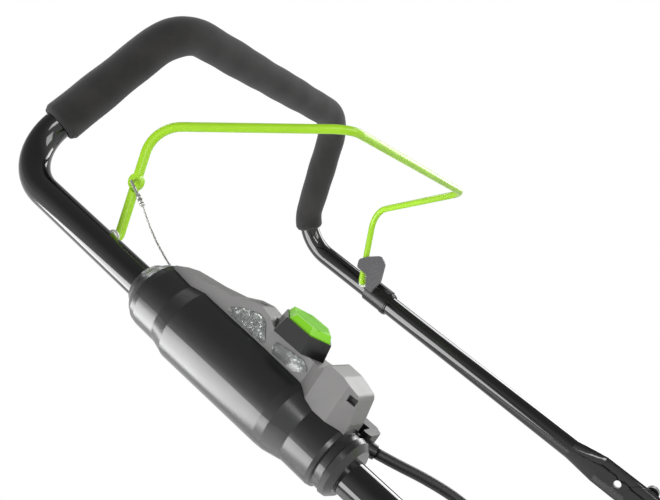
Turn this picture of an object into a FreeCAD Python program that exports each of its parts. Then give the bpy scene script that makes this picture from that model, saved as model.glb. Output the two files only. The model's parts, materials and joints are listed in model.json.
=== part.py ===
"""Walk-behind cordless snow thrower: a folding tube handle with a squeeze bail and a switch box,
on a battery-driven single-stage body. Millimetres, +X to the operator's right, +Y forwards, +Z up.
The handle's pieces are drawn in a frame of their own, in which the two tubes run along +Y, and are
then pitched into place. At the end everything is moved so that the origin is at the bottom centre."""
import FreeCAD, Part
import math
import os

V = FreeCAD.Vector
X_AXIS = V(1, 0, 0)
Z_AXIS = V(0, 0, 1)

# ---- driving dimensions -------------------------------------------------------------------------
PITCH = 42.0                    # slope of the handle tubes below the horizontal, degrees
HANDLE_Y = -959.0               # the handle frame's origin, from the auger's axis
HANDLE_Z = 827.0                # and above the ground
TUBE_X = 255.0                  # half the distance between the two handle tubes
TUBE_R = 12.7
TUBE_WALL = 1.5
GRIP_X = 162.5                  # corners of the grip loop
GRIP_Z = 168.8
SHOULDER_R = 50.0               # bend from each tube into the grip loop
CORNER_R = 62.0                 # bends at the grip's corners
FOAM_R = 18.3
FOAM_BEND = 34.0                # degrees of the left shoulder that the foam covers
PIVOT_Y = 550.0                 # the fold bolts, down the tubes from the shoulders
PEEP_Y = 516.0                  # spare adjustment hole in the flattened ends
BOLT_R = 4.0
FLAT_TAPER = 36.0
FLAT_OFFSET = 4.2               # each flattened end is set to its own side of the tube's line
UPPER_FLAT = (455.0, 572.0)
LOWER_FLAT = (620.0, 528.0)
LOWER_END_Y = 918.0             # where the lower handle's tubes end
LOWER_END_X = 192.0
BAIL_R = 4.0
BAIL_PIVOT = (123.5, 5.3)       # y and z of the bail's pivot, in the handle frame
BAIL_KNEE = (225.2, 87.6, 93.6)
BAIL_TIP = (150.0, 202.4, 178.5)
BUSH_R = 5.5
EYE = (230.2, 105.4, 49.8)      # the eyelet on the bail's right leg
HOOK_R = 1.2
HOOK_OUT = 6.3                  # how far the hook and the wire stand beside the bail's leg
WIRE_EXIT = (246.0, 191.0, 21.0)
BOX_SCREWS = ((-17.6, 262.0), (-17.6, 318.0))
BOX_LIFT = 2.4                  # the switch box's axis lies this far above the tube's
SCREW_SEAT = -13.0              # height of the seats under the shell screws' heads
SEAM_Z = 2.5                    # parting plane of the switch box's two shells
BUTTON_Y = 315.0                # the start button's place along the right tube
BUTTON_HALF = 20.7              # from the button block's centre to its pointed ends
BUTTON_FLAT = 14.4              # to its long sides
BUTTON_RIM = 58.5
BUTTON_SEAT = 45.7              # the cover's top under the button block
BUTTON_WALL = 1.1
COVER_SCREW_Y = 277.0
COVER_WALL = 2.6
AUGER_Z = 130.0
HOUSING_R = 124.0               # inside radius of the auger housing
PADDLE_R = 116.0
CLEARING_X = 254.0              # half the clearing width
WALL = 4.0
COVER_FACE_X = 282.1            # the belt cover's outer face
CHUTE_Y = -45.0
CHUTE_R = 70.0
AXLE_Y = -305.0
WHEEL_R = 88.0
WHEEL_X = (196.0, 234.0)
MOTOR_Y = -172.0
MOTOR_Z = 218.0
AUGER_PULLEY_R = 45.0
MOTOR_PULLEY_R = 16.0
PULLEY_X = (-276.0, -264.0)
FRAME_X = 179.0
SHEET = 3.0
HOOD_X = 174.0
BATTERY_X = 38.0
BATTERY_Y = (-322.0, -218.0)
BATTERY_Z = (240.0, 362.0)
DOCK_X = 44.0
DOCK_Y = (-328.0, -212.0)
LAMP_X = 30.0
LAMP_Z = 14.0
TILT_PIN = (CHUTE_Y + 24.0, 428.0)
DEFLECTOR_LEAN = 30.0
SHAFT_R = 8.0
BEARING_R = 16.0
AXLE_R = 6.0
TYRE_INNER = 68.0
FOOT_BOLTS = (884.0, 903.0)     # down the lower tubes
KNOB_X = 280.5                  # outer face of the fold knobs
CORD_R = 3.75
CORD_ROUTE = [(230.5, 394, 15), (225, 407, 16.3), (213, 427, 18.4), (201, 452, 19),
              (194, 486, 15.5), (198, 526, 8), (214, 565, 2.5), (231, 597, 0), (238.4, 624, 0),
              (238, 655, -1), (231, 680, -7), (213, 700, -19), (189, 713, -29), (165, 726, -34),
              (148, 743, -33), (140.5, 762, -28), (140, 779.8, -23.2)]
BODY_GLAND_END = (140, 808.9, -16)
FIT = 0.05                      # radial clearance of a shaft in its hole
GAP = 0.3                       # clearance between faces that don't touch


# ---- building blocks ----------------------------------------------------------------------------
def block(x, y, z):
    """A box between two limits along each axis."""
    return Part.makeBox(x[1] - x[0], y[1] - y[0], z[1] - z[0], V(x[0], y[0], z[0]))


def rod(start, end, radius):
    """A solid cylinder from one point to another."""
    along = V(*end) - V(*start)
    return Part.makeCylinder(radius, along.Length, V(*start), along)


def pipe(start, end, outer, inner):
    """A round tube from one point to another."""
    return rod(start, end, outer).cut(rod(start, end, inner))


def mirrored(shape):
    """The shape's mirror image on the other side of the machine."""
    return shape.mirror(V(0, 0, 0), X_AXIS)


def both(shape):
    """The shape and its mirror image, as separate solids."""
    return Part.makeCompound([shape, mirrored(shape)])


def fused(shapes):
    """One solid from several, with the seams between their faces removed."""
    first, *rest = shapes
    return first.multiFuse(rest).removeSplitter() if rest else first


def corner(before, point, after, radius):
    """The arc that rounds one corner of a route, as its two ends and middle."""
    u = (before - point).normalize()
    w = (after - point).normalize()
    half = u.getAngle(w) / 2
    inward = (u + w).normalize()
    reach = radius / math.tan(half)
    centre = point + inward * (radius / math.sin(half))
    return point + u * reach, centre - inward * radius, point + w * reach


def route(points, radii):
    """An open wire of straight runs joined by tangent arcs."""
    points = [V(*p) for p in points]
    edges = []
    at = points[0]
    for i, radius in enumerate(radii, start=1):
        start, middle, end = corner(points[i - 1], points[i], points[i + 1], radius)
        if (start - at).Length > 1e-4:
            edges.append(Part.LineSegment(at, start).toShape())
        edges.append(Part.Arc(start, middle, end).toShape())
        at = end
    edges.append(Part.LineSegment(at, points[-1]).toShape())
    return Part.Wire(edges)


def swept(wire, radius):
    """A round bar along a route."""
    first = wire.OrderedEdges[0]
    start = wire.OrderedVertexes[0].Point
    circle = Part.Wire(Part.makeCircle(radius, start, first.tangentAt(first.FirstParameter)))
    return wire.makePipeShell([circle], True, False)


def outline(points, radius):
    """A closed wire round points in space, its corners rounded by one radius or a list of them."""
    points = [V(*p) for p in points]
    radii = radius if isinstance(radius, (list, tuple)) else [radius] * len(points)
    ends = []
    for i, point in enumerate(points):
        after = points[(i + 1) % len(points)]
        if radii[i] > 0:
            ends.append(corner(points[i - 1], point, after, radii[i]))
        else:
            ends.append((point, None, point))
    edges = []
    for i, (start, middle, end) in enumerate(ends):
        if middle is not None:
            edges.append(Part.Arc(start, middle, end).toShape())
        following = ends[(i + 1) % len(ends)][0]
        if (following - end).Length > 1e-4:
            edges.append(Part.LineSegment(end, following).toShape())
    return Part.Wire(edges)


def plate_x(points, x, radius=0.0):
    """A plate with a rounded (y, z) outline between two values of x."""
    face = Part.Face(outline([(x[0], a, b) for a, b in points], radius))
    return face.extrude(V(x[1] - x[0], 0, 0))


def plate_z(points, z, radius=0.0):
    """A plate with a rounded (x, y) outline between two heights."""
    face = Part.Face(outline([(a, b, z[0]) for a, b in points], radius))
    return face.extrude(V(0, 0, z[1] - z[0]))


def turned(profile, centre, along):
    """A solid of revolution from (distance, radius) points about an axis along +Y or +X."""
    side = V(0, 0, 1)
    spine = V(*along)
    ring = [V(*centre) + spine * d + side * r for d, r in profile]
    ring += [V(*centre) + spine * profile[-1][0], V(*centre) + spine * profile[0][0]]
    face = Part.Face(Part.makePolygon(ring + [ring[0]]))
    return face.revolve(V(*centre), spine, 360)


def helix_spring(centre, axis, radius, wire, pitch, turns):
    """A coil spring, its wire swept along a helix about an axis."""
    coil = Part.makeLongHelix(pitch, pitch * turns, radius)
    section = Part.Wire(Part.makeCircle(wire, V(radius, 0, 0), V(0, 1, 0)))
    spring = Part.Wire(coil).makePipeShell([section], True, True)
    spring.Placement = FreeCAD.Placement(V(*centre), FreeCAD.Rotation(Z_AXIS, V(*axis)))
    return spring


# ---- the handle, in its own frame ---------------------------------------------------------------
def oval(x, y, half_x, half_z):
    """An ellipse across the tube, taller than it is thick."""
    ellipse = Part.Ellipse(V(x, y, half_z), V(x + half_x, y, 0), V(x, y, 0))
    return Part.Wire(ellipse.toShape())


def flat_end(start, end, x):
    """A tube's end, pressed flat over its taper, rounded off, and drilled for the fold bolt."""
    half_x, half_z = 4.0, 17.5
    toward = 1 if end > start else -1
    flat_from = start + toward * FLAT_TAPER
    circle = Part.Wire(Part.makeCircle(TUBE_R, V(TUBE_X, start, 0), V(0, 1, 0), 0, 360))
    taper = Part.makeLoft([circle, oval(x, flat_from, half_x, half_z)], True)
    flat = Part.Face(oval(x, flat_from, half_x, half_z)).extrude(V(0, end - flat_from, 0))
    tip_y = end - toward * half_z
    keep = [rod((x - 10, tip_y, 0), (x + 10, tip_y, 0), half_z),
            block((x - 10, x + 10), sorted((flat_from, tip_y)), (-half_z, half_z))]
    drill = rod((x - 10, PIVOT_Y, 0), (x + 10, PIVOT_Y, 0), BOLT_R + FIT)
    return fused([taper, flat.common(fused(keep))]).cut(drill)


def upper_handle_tube():
    """One bent tube: two legs with flattened ends, and the grip loop between them."""
    points = [(TUBE_X, UPPER_FLAT[0], 0), (TUBE_X, 0, 0), (GRIP_X, 0, GRIP_Z),
              (-GRIP_X, 0, GRIP_Z), (-TUBE_X, 0, 0), (-TUBE_X, UPPER_FLAT[0], 0)]
    spine = route(points, [SHOULDER_R, CORNER_R, CORNER_R, SHOULDER_R])
    tube = swept(spine, TUBE_R).cut(swept(spine, TUBE_R - TUBE_WALL))
    end = flat_end(*UPPER_FLAT, TUBE_X + FLAT_OFFSET)
    end = end.cut(rod((TUBE_X - 20, PEEP_Y, 0), (TUBE_X + 20, PEEP_Y, 0), BOLT_R + 0.3))
    tube = fused([tube, end, mirrored(end)])
    for side in (1, -1):
        inner_wall = [(side * x, *BAIL_PIVOT) for x in (TUBE_X - 20, TUBE_X)]
        tube = tube.cut(rod(*inner_wall, BUSH_R + FIT))
    return tube


def foam_grip():
    """The foam sleeve starts where the right shoulder ends and runs a little way into the left one."""
    slope = (V(TUBE_X, 0, 0) - V(GRIP_X, 0, GRIP_Z)).normalize()
    start = V(TUBE_X, 0, 0) - slope * SHOULDER_R
    finish = V(-start.x, start.y, start.z)
    points = [tuple(start), (GRIP_X, 0, GRIP_Z), (-GRIP_X, 0, GRIP_Z), tuple(finish)]
    downwards = V(-slope.x, 0, slope.z)
    centre = finish + V(0, SHOULDER_R, 0)

    def on_shoulder(degrees):
        turn = math.radians(degrees)
        return centre + (downwards * math.sin(turn) - V(0, math.cos(turn), 0)) * SHOULDER_R

    bend = Part.Arc(finish, on_shoulder(FOAM_BEND / 2), on_shoulder(FOAM_BEND)).toShape()
    spine = Part.Wire(route(points, [CORNER_R, CORNER_R]).OrderedEdges + [bend])
    return swept(spine, FOAM_R).cut(swept(spine, TUBE_R + 0.2))


def bail_lever():
    """The bail is one bent rod whose two ends turn outwards into the tubes."""
    root = (TUBE_X - 20.0, *BAIL_PIVOT)
    stub = (TUBE_X - 6.0, *BAIL_PIVOT)
    half = [stub, root, BAIL_KNEE, BAIL_TIP]
    points = half + [(-x, y, z) for x, y, z in reversed(half)]
    spine = route(points, [5.3, 30.0, 28.0, 28.0, 30.0, 5.3])
    lever = swept(spine, BAIL_R)
    eye = V(*EYE)
    boss = rod((eye.x - 2.6, eye.y, eye.z), (eye.x + 2.6, eye.y, eye.z), 6.6)
    hole = rod((eye.x - 9, eye.y, eye.z), (eye.x + 9, eye.y, eye.z), HOOK_R + FIT)
    flats = [block((eye.x + a, eye.x + b), (eye.y - 7, eye.y + 7), (eye.z - 7, eye.z + 7))
             for a, b in ((-8, -2.6), (2.6, 8))]
    for cutter in flats:
        lever = lever.cut(cutter)
    return fused([lever, boss]).cut(hole)


def bail_bushes():
    """Flanged nylon bushes that line the holes in the tubes' inner walls."""
    wall = TUBE_X - TUBE_R
    bore = rod((wall - 9, *BAIL_PIVOT), (wall + 9, *BAIL_PIVOT), BAIL_R + FIT)
    body = rod((wall - 1.2, *BAIL_PIVOT), (wall + 3.0, *BAIL_PIVOT), BUSH_R)
    flange = rod((wall - 1.2, *BAIL_PIVOT), (wall, *BAIL_PIVOT), BUSH_R + 1.2)
    return both(fused([body, flange]).cut(bore))


def bail_guard():
    """A clip round the left tube, with a plate that keeps the bail's end from pulling out."""
    clip = rod((-TUBE_X, 131, 0), (-TUBE_X, 168, 0), TUBE_R + 2.0)
    band = rod((-TUBE_X, 161, 0), (-TUBE_X, 166, 0), TUBE_R + 2.8)
    lug = block((-TUBE_X - 4, -TUBE_X + 8), (138, 163), (10, TUBE_R + 4.0))
    bridge = block((-TUBE_X + 9, -223.6), (137, 147), (4, 12))
    plate = plate_x([(111, 20), (107, 30), (116, 40), (131, 51), (142, 46), (151, 22), (146, 5),
                     (137, 5), (129, 19)], (-226.4, -223.6), [3, 5, 9, 6, 6, 8, 2, 2, 4])
    bore = rod((-TUBE_X, 120, 0), (-TUBE_X, 176, 0), TUBE_R + FIT)
    return fused([clip, band, lug, bridge, plate]).cut(bore)


WIRE_START = V(*EYE) + V(HOOK_OUT, 0, 0)


def wire_line(distance):
    """A point on the pull wire's line, at a distance from where it leaves the eyelet."""
    along = (V(*WIRE_EXIT) - WIRE_START).normalize()
    return tuple(WIRE_START + along * distance)


def wire_hook():
    """A Z-bent hook through the eyelet, its tail crimped to the pull wire."""
    eye = V(*EYE)
    tail = wire_line(16.0)
    points = [(eye.x - HOOK_OUT, eye.y - 7.0, eye.z + 3.5), (eye.x - HOOK_OUT, eye.y, eye.z),
              tuple(WIRE_START), tail]
    return swept(route(points, [2.6, 2.6]), HOOK_R)


def pull_wire():
    """The bail's pull wire from its ferrule to the hole in the end of the switch box."""
    ferrule = rod(wire_line(16.2), wire_line(27.0), 2.1)
    length = (V(*WIRE_EXIT) - WIRE_START).Length
    return fused([ferrule, rod(wire_line(26.0), wire_line(length), 0.8)])


BOX_PROFILE = [(186.0, 17.6), (189.5, 19.4), (194.0, 23.2), (199.0, 25.8), (204.0, 26.5),
               (225.0, 26.5), (238.0, 29.5), (333.0, 28.0), (340.0, 27.4), (355.0, 23.8),
               (377.0, 23.8), (380.0, 23.0), (381.0, 21.0), (386.0, 21.0), (387.0, 22.0),
               (391.0, 21.4), (395.0, 17.6)]
CAVITY_PROFILE = [(205.0, 23.6), (226.0, 23.6), (238.0, 26.6), (333.0, 25.2), (354.0, 21.0),
                  (372.0, 21.0)]
COVER_SIDE = [(203.0, 14.0), (203.0, 31.0), (213.0, 34.5), (239.0, 38.5), (258.0, 43.0),
              (270.0, 48.6), (281.0, 51.0), (291.0, 49.4), (297.0, BUTTON_SEAT),
              (343.0, BUTTON_SEAT), (347.5, 52.8), (360.0, 52.4), (376.0, 48.4), (380.0, 30.0),
              (380.0, 14.0)]
COVER_ROUNDING = [1, 1, 4, 14, 8, 4, 4, 4, 2, 1, 3, 6, 5, 1, 1]
COVER_PLAN = [(200.0, 7.0), (222.0, 9.0), (246.0, 9.5), (300.0, 9.0), (336.0, 9.5),
              (346.0, 14.0), (366.0, 14.0), (381.0, 11.0)]
WINDOWS = ([(258.5, 34.8), (270.7, 41.6), (283.3, 46.0), (290.5, 44.7), (300.0, 31.6),
            (284.6, 31.2), (266.0, 31.4)],
           [(303.5, 38.5), (312.0, 40.0), (329.0, 42.0), (337.0, 38.0), (327.0, 31.2),
            (306.0, 30.8)])


def in_box(shape):
    """Moves a piece drawn about x = 0 onto the right tube's line."""
    return shape.translated(V(TUBE_X, 0, 0))


def box_turned(profile):
    """A turned form about the switch box's own axis."""
    return turned(profile, (0, 0, BOX_LIFT), (0, 1, 0))


def box_body():
    """The two shells together: a turned casing round the tube, hollow, clamped at both ends."""
    casing = box_turned(BOX_PROFILE).cut(box_turned(CAVITY_PROFILE))
    return casing.cut(rod((0, 150, 0), (0, 420, 0), TUBE_R + FIT))


def switch_box_lower():
    """The lower shell, with its screw bosses and the counterbores under them."""
    half = box_body().common(block((-40, 40), (150, 420), (-40, SEAM_Z)))
    inside = box_turned(CAVITY_PROFILE)
    for x, y in BOX_SCREWS:
        boss = rod((x, y, -30), (x, y, SEAM_Z), 3.6).common(inside)
        half = half.fuse(boss).cut(rod((x, y, -30), (x, y, SCREW_SEAT), 2.9))
        half = half.cut(rod((x, y, -30), (x, y, 10), 1.4 + FIT))
    return in_box(half.removeSplitter())


def mirrored_plan(inset):
    """The cover's plan outline as a closed ring of (x, y) points, drawn in by an inset."""
    right = [(x - inset, y) for y, x in COVER_PLAN]
    return right + [(-x, y) for x, y in reversed(right)]


def cover_form():
    """The cover's outer form: its side outline crossed with its plan outline."""
    side = plate_x(COVER_SIDE, (-40, 40), COVER_ROUNDING)
    return side.common(plate_z(mirrored_plan(0), (0, 80)))


def shell_gap():
    """The turned casing's outside, grown by the gap that the cover keeps from it."""
    return box_turned([(d, r + GAP) for d, r in BOX_PROFILE])


def switch_box_upper():
    """The upper shell, open on top under the cover, with the hole that the pull wire goes through
    and the rib that the slide's spring pushes against."""
    half = box_body().common(block((-40, 40), (150, 420), (SEAM_Z, 40)))
    inside = box_turned(CAVITY_PROFILE)
    for x, y in BOX_SCREWS:
        boss = rod((x, y, SEAM_Z), (x, y, 30), 3.6).common(inside)
        half = half.fuse(boss).cut(rod((x, y, 0), (x, y, 10), 1.4 + FIT))
    opening = block((-5.8, 5.8), (236, 336), (10, 40))
    wire_hole = rod((WIRE_EXIT[0] - TUBE_X, 180, WIRE_EXIT[2]),
                    (WIRE_EXIT[0] - TUBE_X, 260, WIRE_EXIT[2]), 2.2)
    half = half.removeSplitter().cut(opening).cut(wire_hole)
    rib = block((-3, 7), (229.4, 232.2), (14.5, 30)).common(inside)
    return in_box(fused([half, rib]))


def window_pane(points, grow):
    """A block with the outline of one window, grown about its middle."""
    centre_y = sum(a for a, _ in points) / len(points)
    centre_z = sum(b for _, b in points) / len(points)
    grown = [(centre_y + (a - centre_y) * grow, centre_z + (b - centre_z) * grow) for a, b in points]
    return plate_x(grown, (0, 30), 2.0)


def switch_box_cover():
    """The grey cover on top of the shells, hollow, with window seats, button seat and recesses."""
    inside = []
    for y, z in COVER_SIDE:
        inwards = 3 if y < COVER_SCREW_Y else -3
        inside.append((y + inwards, z - COVER_WALL))
    hollow = plate_x(inside, (-40, 40)).common(plate_z(mirrored_plan(COVER_WALL), (0, 80)))
    cover = cover_form().cut(hollow).cut(shell_gap())
    for points in WINDOWS:
        cover = cover.cut(window_pane(points, 1.0))
    cover = cover.cut(hexagon(BUTTON_HALF + 3.3, BUTTON_FLAT + 2.4, (BUTTON_SEAT, 66)))
    cover = cover.cut(rod((0, BUTTON_Y, 40), (0, BUTTON_Y, 60), 5.0))
    cover = cover.cut(rod((0, COVER_SCREW_Y, 46.6), (0, COVER_SCREW_Y, 60), 2.9))
    cover = cover.cut(block((9.0, 30), (369.5, 376), (41.6, 46.4)))
    return in_box(max(cover.Solids, key=lambda solid: solid.Volume))


def window_lenses():
    """Two clear windows in the cover's right side, a little proud of it."""
    outer = [(x + 0.6, y) for y, x in COVER_PLAN]
    inner = [(x - COVER_WALL, y) for y, x in COVER_PLAN]
    band = plate_z(outer + list(reversed(inner)), (24, 50))
    panes = [window_pane(points, 0.985).common(band).cut(shell_gap()) for points in WINDOWS]
    return in_box(Part.makeCompound(panes))


def hexagon(half, flat, z, draft=0.0):
    """A long six-sided prism about the button's centre, its foot wider by the draft."""
    def ring(grow, height):
        tip, side, shoulder = half + grow, flat + grow, half - 10 + grow
        points = [(0, -tip), (side, -shoulder), (side, shoulder), (0, tip), (-side, shoulder),
                  (-side, -shoulder)]
        points = [V(x, BUTTON_Y + y, height) for x, y in points]
        return Part.makePolygon(points + [points[0]])
    return Part.makeLoft([ring(draft, z[0]), ring(0, z[1])], True, True)


def start_button_block():
    """The raised block round the start button, standing on the cover."""
    body = hexagon(BUTTON_HALF, BUTTON_FLAT, (BUTTON_SEAT + GAP, BUTTON_RIM), 2.0)
    well = hexagon(BUTTON_HALF - BUTTON_WALL, BUTTON_FLAT - BUTTON_WALL, (50.0, BUTTON_RIM + 1))
    bore = rod((0, BUTTON_Y, 40), (0, BUTTON_Y, 60), 3.6)
    return in_box(body.cut(well).cut(bore))


def start_button():
    """The push button: a ribbed, bevelled cap on a stem."""
    half = BUTTON_HALF - BUTTON_WALL - GAP
    flat = BUTTON_FLAT - BUTTON_WALL - GAP
    cap = hexagon(half, flat, (54.0, 59.2))
    bevel = hexagon(half - 2.2, flat - 1.8, (59.2, 63.2), 1.9)
    stem = rod((0, BUTTON_Y, 33.0), (0, BUTTON_Y, 55), 3.4)
    collar = rod((0, BUTTON_Y, 33.0), (0, BUTTON_Y, 38.0), 4.6)
    cap = fused([cap, bevel, stem, collar])
    for i in range(-3, 4):
        x = i * 2.5
        cap = cap.cut(block((x - 0.5, x + 0.5), (BUTTON_Y - 12, BUTTON_Y + 12), (62.6, 64)))
    return in_box(cap)


def start_button_spring():
    """Lifts the start button back after a press."""
    coil = helix_spring((0, BUTTON_Y, 50.4), (0, 0, 1), 5.2, 0.4, 1.3, 2.2)
    return in_box(coil)


def microswitch():
    """The switch under the start button, on its carrier, with its plunger and terminals."""
    body = block((-5, 5), (BUTTON_Y - 14, BUTTON_Y + 14), (19.0, 27.5))
    plunger = rod((0, BUTTON_Y, 27.0), (0, BUTTON_Y, 29.4), 1.6)
    pins = [block((-1, 1), (BUTTON_Y + y - 0.4, BUTTON_Y + y + 0.4), (14.0, 19.5))
            for y in (-10, 0, 10)]
    return in_box(fused([body, plunger] + pins))


def switch_slider():
    """The slide that the pull wire draws up the box; it works the switch and locks the button."""
    x, y, z = WIRE_EXIT
    draw_rod = rod((x, y + 0.6, z), (x, 262, z), 0.8)
    carriage = block((TUBE_X - 10.4, TUBE_X - 6.2), (258, 296), (17.5, 25.0))
    foot = block((TUBE_X - 10.4, TUBE_X + 6), (258, 264), (19.0, 25.0))
    return fused([draw_rod, carriage, foot])


def slider_spring():
    """Draws the slide back down the box when the bail is let go."""
    return helix_spring((TUBE_X + 2.5, 232.7, 22.0), (0, 1, 0), 2.6, 0.4, 2.4, 10)


def box_screws():
    """The cover's screw and those that hold the two shells together from below."""
    head = rod((0, COVER_SCREW_Y, 46.7), (0, COVER_SCREW_Y, 48.9), 2.7)
    shank = rod((0, COVER_SCREW_Y, 33), (0, COVER_SCREW_Y, 47), 1.4)
    screws = [in_box(fused([head, shank]))]
    for x, y in BOX_SCREWS:
        head = rod((x, y, SCREW_SEAT - 2.6), (x, y, SCREW_SEAT - FIT), 2.7)
        shank = rod((x, y, SCREW_SEAT - 1), (x, y, 9.5), 1.4)
        screws.append(in_box(fused([head, shank])))
    return Part.makeCompound(screws)


def cord_radii():
    """Each arc of the cord's route is as large as its two runs allow."""
    points = [V(*p) for p in CORD_ROUTE]
    radii = []
    for before, at, after in zip(points, points[1:], points[2:]):
        turn = (at - before).getAngle(after - at)
        shorter = min((at - before).Length, (after - at).Length)
        radii.append(0.45 * shorter / math.tan(turn / 2))
    return radii


def power_cord():
    """The cord from the switch box to the motor hood."""
    spine = route(CORD_ROUTE, cord_radii())
    cord = swept(spine, CORD_R)
    expected = math.pi * CORD_R ** 2 * spine.Length
    print("cord length", round(spine.Length, 1), "smallest radius", round(min(cord_radii()), 1),
          "volume ratio", round(cord.Volume / expected, 4))
    return cord


def tapered(start, end, start_r, end_r):
    """A cone between two points."""
    along = V(*end) - V(*start)
    return Part.makeCone(start_r, end_r, along.Length, V(*start), along)


def cord_gland():
    """The block at the box's lower end that the cord leaves from, ending in a tapered sleeve."""
    plan = [(-36, 353), (-24.5, 353), (-24.5, 381.5), (-14, 381.5), (-14, 388), (-31, 388), (-36, 382)]
    body = in_box(plate_z(plan, (7, 25), [4, 1, 1, 1, 3, 3, 3]))
    start = V(*CORD_ROUTE[0])
    backwards = (start - V(*CORD_ROUTE[1])).normalize()
    sleeve = tapered(tuple(start + backwards * 20), CORD_ROUTE[0], 6.6, 5.0)
    gland = fused([body, sleeve]).cut(in_box(shell_gap()))
    for clearance in (0, GAP):
        gland = gland.cut(in_box(cover_form().translated(V(-clearance, 0, 0))))
    return max(gland.Solids, key=lambda solid: solid.Volume)


def body_gland():
    """The strain relief where the cord enters the motor hood."""
    inward = (V(*BODY_GLAND_END) - V(*CORD_ROUTE[-1])).normalize()
    tip = V(*CORD_ROUTE[-1]) + inward * GAP
    foot = V(*BODY_GLAND_END) - inward * GAP
    sleeve = tapered(tuple(foot), tuple(tip), 8.5, 5.2)
    return fused([sleeve, rod(tuple(foot - inward * 2.6), tuple(foot), 12.0)])


def cord_clip():
    """A snap clip that holds the cord to the right lower tube."""
    y = (634.0, 646.0)
    cord_x = CORD_ROUTE[8][0] - 0.2
    tube = [(TUBE_X, y[0], 0), (TUBE_X, y[1], 0)]
    cord = [(cord_x, y[0], -0.4), (cord_x, y[1], -0.4)]
    clip = fused([rod(*tube, TUBE_R + 2.2), rod(*cord, CORD_R + 2.4)])
    clip = clip.cut(rod(*tube, TUBE_R + FIT)).cut(rod(*cord, CORD_R + 0.9))
    return clip.cut(block((TUBE_X + 9, TUBE_X + 20), y, (-5, 5)))


def lower_handle():
    """The right lower tube: flattened at the fold, bent inwards at the body, closed at its foot."""
    points = [(TUBE_X, LOWER_FLAT[0], 0), (TUBE_X, 760, 0), (LOWER_END_X, 860, 0),
              (LOWER_END_X, LOWER_END_Y, 0)]
    spine = route(points, [90.0, 60.0])
    tube = swept(spine, TUBE_R).cut(swept(spine, TUBE_R - TUBE_WALL))
    tube = fused([tube, flat_end(*LOWER_FLAT, TUBE_X - FLAT_OFFSET)])
    for y in FOOT_BOLTS:
        tube = tube.cut(rod((LOWER_END_X - 20, y, 0), (LOWER_END_X + 20, y, 0), 3.0 + FIT))
    return tube


def foot_bolts():
    """Two bolts through each lower tube's foot and the frame's ear."""
    bolts = []
    for y in FOOT_BOLTS:
        outer = LOWER_END_X + TUBE_R
        shank = rod((FRAME_X - SHEET - 1.5, y, 0), (outer + 2, y, 0), 3.0)
        head = hex_head((outer, y, 0), 4.0, 5.5)
        nut = hex_head((FRAME_X - SHEET - 1.8, y, 0), 1.8, 4.6)
        bolts.append(fused([shank, head, nut]))
    return Part.makeCompound(bolts + [mirrored(bolt) for bolt in bolts])


def hex_head(base, height, across):
    """A six-sided head or nut that stands out along +X from its base."""
    points = [V(base[0], base[1] + across * math.cos(math.radians(a)),
                base[2] + across * math.sin(math.radians(a))) for a in range(0, 360, 60)]
    return Part.Face(Part.makePolygon(points + [points[0]])).extrude(V(height, 0, 0))


def fold_bolts():
    """Carriage bolts that the upper handle turns on, their round heads inside the tubes."""
    inner = TUBE_X - FLAT_OFFSET - 4.0 - 1.2
    outer = TUBE_X + FLAT_OFFSET + 4.0 + 12.0
    head = turned([(0.0, 7.5), (1.8, 6.8), (3.4, 3.8)], (inner, PIVOT_Y, 0), (-1, 0, 0))
    shank = rod((inner, PIVOT_Y, 0), (outer, PIVOT_Y, 0), BOLT_R)
    return both(fused([head, shank]))


def fold_knob():
    """A three-lobed hand knob on the end of the right fold bolt."""
    face_x = TUBE_X + FLAT_OFFSET + 4.0 + GAP
    body = rod((face_x + 2, PIVOT_Y, 0), (KNOB_X, PIVOT_Y, 0), 13.0)
    foot = rod((face_x, PIVOT_Y, 0), (face_x + 3, PIVOT_Y, 0), 9.0)
    lobes = []
    for angle in (90, 210, 330):
        y = PIVOT_Y + 13.5 * math.cos(math.radians(angle))
        z = 13.5 * math.sin(math.radians(angle))
        lobes.append(rod((face_x + 2, y, z), (KNOB_X, y, z), 7.5))
    knob = fused([body, foot] + lobes)
    return knob.cut(rod((face_x - 1, PIVOT_Y, 0), (face_x + 13, PIVOT_Y, 0), BOLT_R + FIT))


# ---- the body -----------------------------------------------------------------------------------
def end_plate(x):
    """One end of the auger housing: flat on the ground, round behind and sloping off in front."""
    outer = HOUSING_R + WALL
    disc = rod((x, 0, AUGER_Z), (x + WALL, 0, AUGER_Z), outer)
    front = [(-84, 0), (64, 0), (128, 54), (132, 132), (78, 226), (0, AUGER_Z + outer),
             (0, AUGER_Z), (-outer * 0.82, AUGER_Z - outer * 0.574)]
    return fused([disc, plate_x(front, (x, x + WALL), [6, 30, 34, 40, 34, 0, 0, 0])])


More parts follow.
